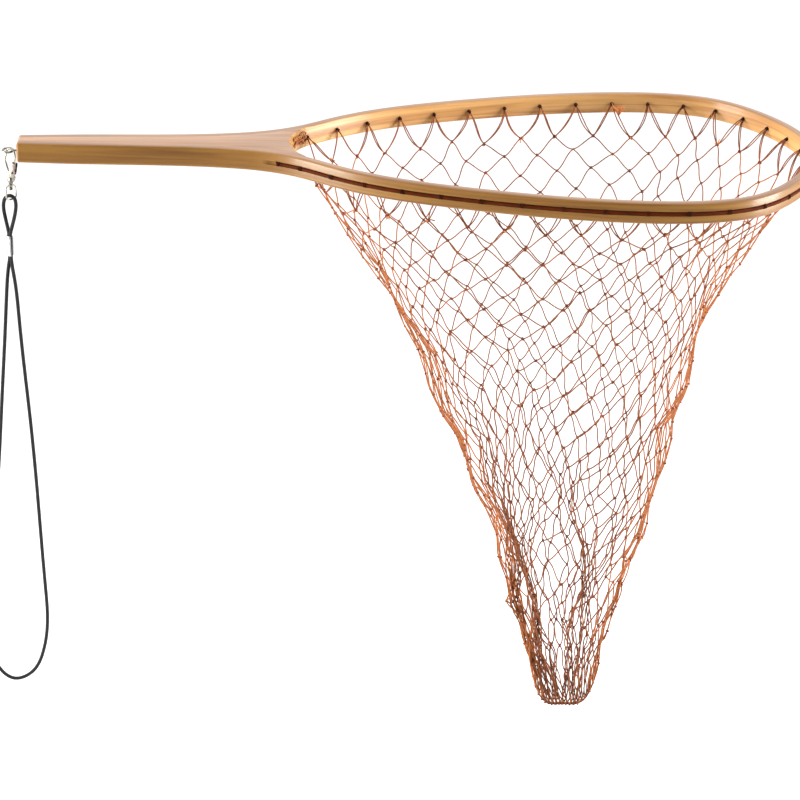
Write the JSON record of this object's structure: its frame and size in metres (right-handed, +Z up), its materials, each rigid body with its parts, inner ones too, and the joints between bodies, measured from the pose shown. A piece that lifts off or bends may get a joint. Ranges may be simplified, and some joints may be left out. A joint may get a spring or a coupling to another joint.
{
  "type": "landing net",
  "caption": "Wooden trout landing net: bent hoop and short handle, laced net bag narrowing to a sock, and a swivel snap with an elastic wrist lanyard at the butt.",
  "frame": {"origin": "middle of the grip, on the flat underside of the handle core", "axes": "+X from the butt of the handle to the tip of the hoop, +Y to the hoop's left, +Z up with the bag hanging below"},
  "size_m": [0.6148, 0.2634, 0.463],
  "materials": {
    "core_wood": "satin varnish",
    "bow_wood": "satin varnish",
    "lacing": "waxed cord",
    "twine": "tarred twisted twine",
    "steel": "plated",
    "nickel": "plated, slightly worn",
    "dark_nickel": "plated, dark",
    "crimp": "satin",
    "elastic": "braided cover"
  },
  "bodies": {
    "frame": {"handle_core": "core_wood", "hoop_bow": "bow_wood", "lacing_cord": "lacing", "net_bag": "twine", "screw_eye": "steel"},
    "snap": {"snap_body": "nickel", "swivel_post": "dark_nickel", "gate_pin": "dark_nickel"},
    "gate": {"snap_gate": "nickel", "gate_spring": "steel"},
    "eye": {"swivel_eye": "nickel"},
    "lanyard": {"lanyard_cord": "elastic", "crimp_sleeve": "crimp"}
  },
  "joints": [
    {"name": "snap_swing", "type": "hinge", "parent": "frame", "child": "snap", "pos_m": [-0.07405, -0.00237, 0.00597], "axis": [0.4478, 0.8942, 0], "range_deg": [-8, 25]},
    {"name": "gate_pivot", "type": "hinge", "parent": "snap", "child": "gate", "pos_m": [-0.07345, -0.00267, -0.0095], "axis": [-0.4478, -0.8942, 0], "range_deg": [0, 30], "stiffness_Nm_per_rad": 0.004, "springref_deg": -20.05},
    {"name": "eye_swivel", "type": "hinge", "parent": "snap", "child": "eye", "pos_m": [-0.0756, -0.0016, -0.0198], "axis": [0, 0, 1], "continuous": true},
    {"name": "lanyard_swing", "type": "hinge", "parent": "eye", "child": "lanyard", "pos_m": [-0.0756, -0.0016, -0.0302], "axis": [0.766, 0.6428, 0], "range_deg": [-45, 45]}
  ]
}
